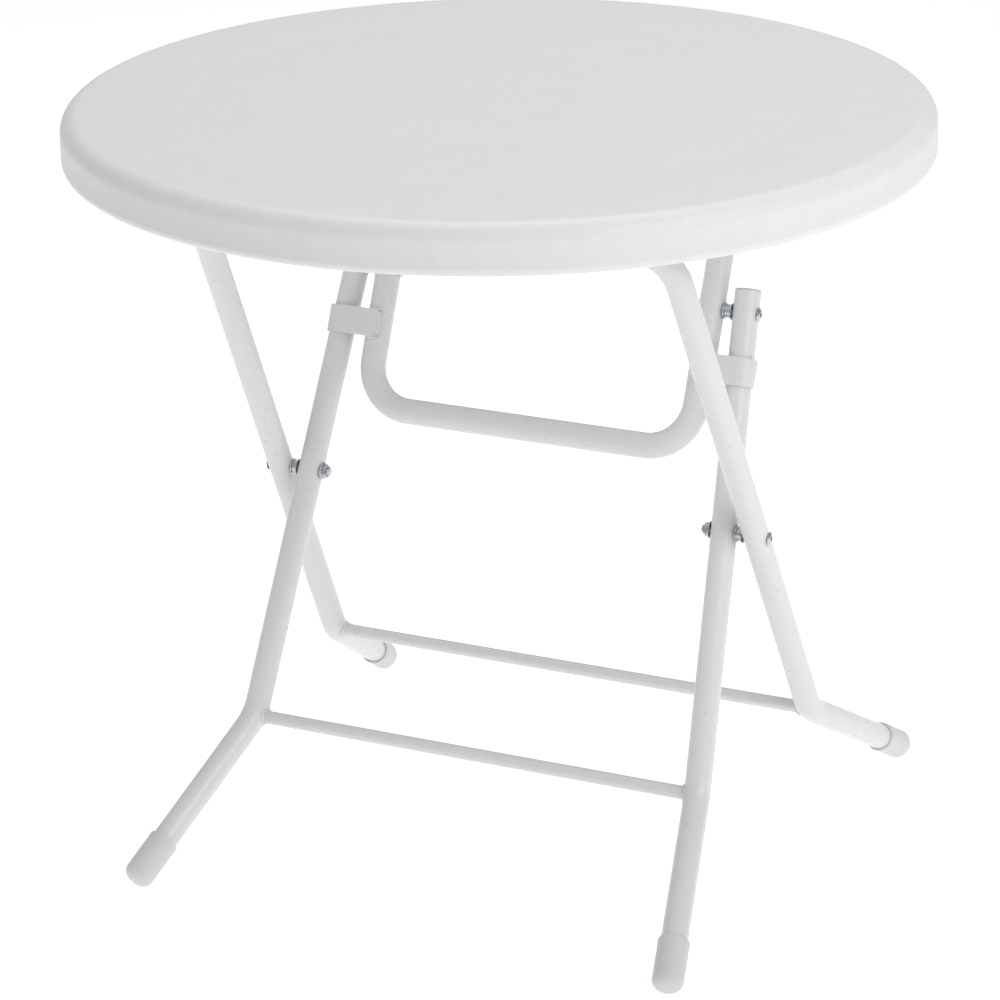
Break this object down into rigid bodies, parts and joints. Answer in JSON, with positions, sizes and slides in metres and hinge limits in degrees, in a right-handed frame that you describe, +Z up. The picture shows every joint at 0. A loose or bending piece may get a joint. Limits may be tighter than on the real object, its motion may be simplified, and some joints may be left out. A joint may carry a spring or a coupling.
{
  "type": "folding table",
  "caption": "Round folding table: white moulded top with a rolled rim on a crossed stand of bent steel tube that folds flat, held open by a U-shaped lock bar.",
  "frame": {"origin": "on the floor under the centre of the round top, at the bottom centre of the bounding box, with the stand open", "axes": "+Z up, +X across the table along the hinge axes, +Y from the front feet to the rear feet"},
  "size_m": [0.8, 0.8, 0.74],
  "materials": {
    "white_moulded_plastic": "satin white, fine moulded grain",
    "white_powder_coat": "white powder coat on steel, satin",
    "zinc_plated_steel": "bright zinc plated",
    "light_grey_plastic": "light grey moulded plastic"
  },
  "bodies": {
    "outer_frame": {"outer_frame": "white_powder_coat", "rear_spreader": "white_powder_coat", "scissor_bolt_left": "zinc_plated_steel", "scissor_bolt_right": "zinc_plated_steel", "scissor_spacer_left": "zinc_plated_steel", "scissor_spacer_right": "zinc_plated_steel", "scissor_nut_left": "zinc_plated_steel", "scissor_nut_right": "zinc_plated_steel", "foot_cap_rear_left": "light_grey_plastic", "foot_cap_rear_right": "light_grey_plastic"},
    "inner_frame": {"front_spreader": "white_powder_coat", "inner_leg_left": "white_powder_coat", "inner_leg_right": "white_powder_coat", "leg_plug_left": "light_grey_plastic", "leg_plug_right": "light_grey_plastic", "link_stud_left": "zinc_plated_steel", "link_stud_right": "zinc_plated_steel", "link_spacer_left": "zinc_plated_steel", "link_spacer_right": "zinc_plated_steel", "foot_cap_front_left": "light_grey_plastic", "foot_cap_front_right": "light_grey_plastic"},
    "tabletop": {"tabletop": "white_moulded_plastic", "clip_screw_left_front": "zinc_plated_steel", "clip_screw_left_rear": "zinc_plated_steel", "clip_screw_right_front": "zinc_plated_steel", "clip_screw_right_rear": "zinc_plated_steel", "bracket_screw_left_front": "zinc_plated_steel", "bracket_screw_left_rear": "zinc_plated_steel", "bracket_screw_right_front": "zinc_plated_steel", "bracket_screw_right_rear": "zinc_plated_steel", "saddle_clip_left": "zinc_plated_steel", "saddle_clip_right": "zinc_plated_steel", "saddle_pad_left": "light_grey_plastic", "saddle_pad_right": "light_grey_plastic", "hinge_bracket_left": "zinc_plated_steel", "hinge_bracket_right": "zinc_plated_steel", "hinge_pin_left": "zinc_plated_steel", "hinge_pin_right": "zinc_plated_steel", "hinge_nut_left": "zinc_plated_steel", "hinge_nut_right": "zinc_plated_steel"},
    "lock_bar": {"lock_bar": "white_powder_coat", "lock_plate_left": "white_powder_coat", "lock_plate_right": "white_powder_coat", "link_bolt_left": "zinc_plated_steel", "link_bolt_right": "zinc_plated_steel"}
  },
  "joints": [
    {"name": "scissor_fold", "type": "hinge", "parent": "outer_frame", "child": "inner_frame", "pos_m": [0, 0.018, 0.3405], "axis": [1, 0, 0], "range_deg": [0, 48.5]},
    {"name": "front_hinge", "type": "hinge", "parent": "outer_frame", "child": "tabletop", "pos_m": [0, -0.16199, 0.672], "axis": [1, 0, 0], "range_deg": [-53.16, 0]},
    {"name": "rear_hinge", "type": "hinge", "parent": "tabletop", "child": "lock_bar", "pos_m": [0, 0.17117, 0.672], "axis": [1, 0, 0], "range_deg": [-62.31, 0]}
  ],
  "couplings": [
    {"joint": "front_hinge", "follows": "scissor_fold", "ratio": -1.0957},
    {"joint": "rear_hinge", "follows": "scissor_fold", "ratio": -1.2844}
  ]
}
